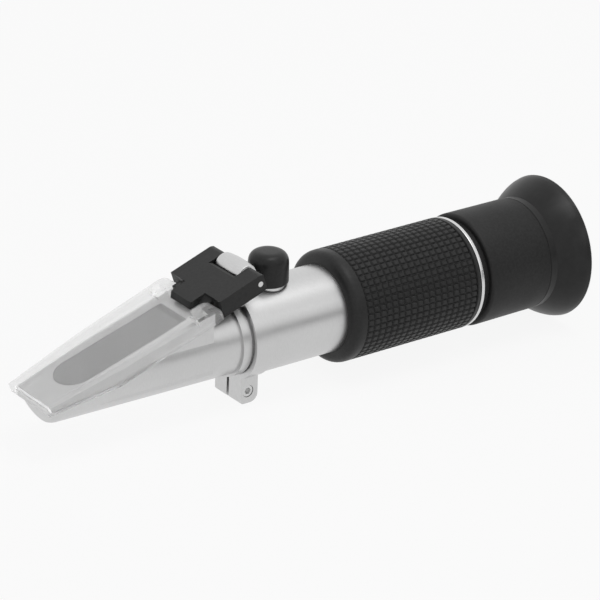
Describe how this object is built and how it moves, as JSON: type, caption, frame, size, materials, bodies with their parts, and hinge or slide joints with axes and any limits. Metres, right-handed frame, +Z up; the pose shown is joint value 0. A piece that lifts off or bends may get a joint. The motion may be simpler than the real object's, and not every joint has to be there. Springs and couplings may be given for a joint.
{
  "type": "hand-held refractometer",
  "caption": "Hand-held optical refractometer: clear hinged cover over a sloping prism, split hinge ring, tube with capped calibration screw, rubber grip, focusing eyepiece with flared eyecup.",
  "frame": {"origin": "under the middle of the overall length, level with the lowest point of the eyecup's rim", "axes": "+X along the optical axis from the cover's tip towards the eyecup, +Z up through the calibration cap, +Y to the instrument's left as its user looks through it towards the tip"},
  "size_m": [0.17, 0.0396, 0.0417],
  "materials": {
    "satin_metal": "satin, turned",
    "ring_metal": "satin",
    "trim_metal": "bright",
    "steel": "plain",
    "brass_parts": "plain, hidden",
    "black_metal": "black, dull, against stray light",
    "black_plastic": "fine matt",
    "black_rubber": "matt",
    "cup_rubber": "soft sheen",
    "clear_plastic": "clear, moulded",
    "prism_glass": "polished, dark from the black tube behind it",
    "lens_glass": "polished",
    "dark_cement": "dull",
    "two_metal_strip": "rolled strip"
  },
  "bodies": {
    "body": {"prism_housing": "satin_metal", "prism": "prism_glass", "prism_seal": "dark_cement", "clamp_ring": "ring_metal", "clamp_screw": "steel", "main_tube": "satin_metal", "calibration_boss": "brass_parts", "guide_dowel": "steel", "rubber_grip": "black_rubber", "trim_ring": "trim_metal", "light_baffle": "black_metal", "reticle_holder": "black_metal", "reticle": "lens_glass", "eyepiece_sleeve": "black_metal", "focus_retainer": "black_metal"},
    "cover": {"daylight_plate": "clear_plastic", "hinge_bracket": "black_plastic", "hinge_pin": "steel"},
    "cap": {"calibration_cap": "black_rubber"},
    "setting_screw": {"calibration_screw": "steel", "screw_clip": "steel"},
    "carriage": {"lens_carrier": "brass_parts", "bimetal_strip": "two_metal_strip", "strip_rivets": "brass_parts", "objective_cell": "black_metal", "objective_lens": "lens_glass"},
    "focus": {"focus_ring": "black_plastic", "eyecup": "cup_rubber"},
    "lens_slide": {"lens_cell": "black_metal", "guide_screw": "steel", "field_lens": "lens_glass", "lens_spacer": "black_metal", "eye_lens": "lens_glass", "lens_retainer": "black_metal"}
  },
  "joints": [
    {"name": "cover_hinge", "type": "hinge", "parent": "body", "child": "cover", "pos_m": [-0.0211, 0, 0.03775], "axis": [0, 1, 0], "range_deg": [0, 110]},
    {"name": "cap_lift", "type": "slide", "parent": "body", "child": "cap", "axis": [0, 0, 1], "range_m": [0, 0.01]},
    {"name": "calibration_turn", "type": "hinge", "parent": "body", "child": "setting_screw", "pos_m": [-0.0106, 0, 0.03], "axis": [0, 0, 1], "range_deg": [-180, 180]},
    {"name": "carriage_shift", "type": "slide", "parent": "body", "child": "carriage", "axis": [0, 0, 1], "range_m": [-0.00035, 0.00035]},
    {"name": "focus_turn", "type": "hinge", "parent": "body", "child": "focus", "pos_m": [0.06, 0, 0.01985], "axis": [1, 0, 0], "range_deg": [-75, 75]},
    {"name": "lens_travel", "type": "slide", "parent": "body", "child": "lens_slide", "axis": [1, 0, 0], "range_m": [-0.0015, 0.0015]}
  ],
  "couplings": [
    {"joint": "calibration_turn", "follows": "carriage_shift", "rad_per_m": -8975.9},
    {"joint": "lens_travel", "follows": "focus_turn", "m_per_rad": -0.0011459}
  ]
}
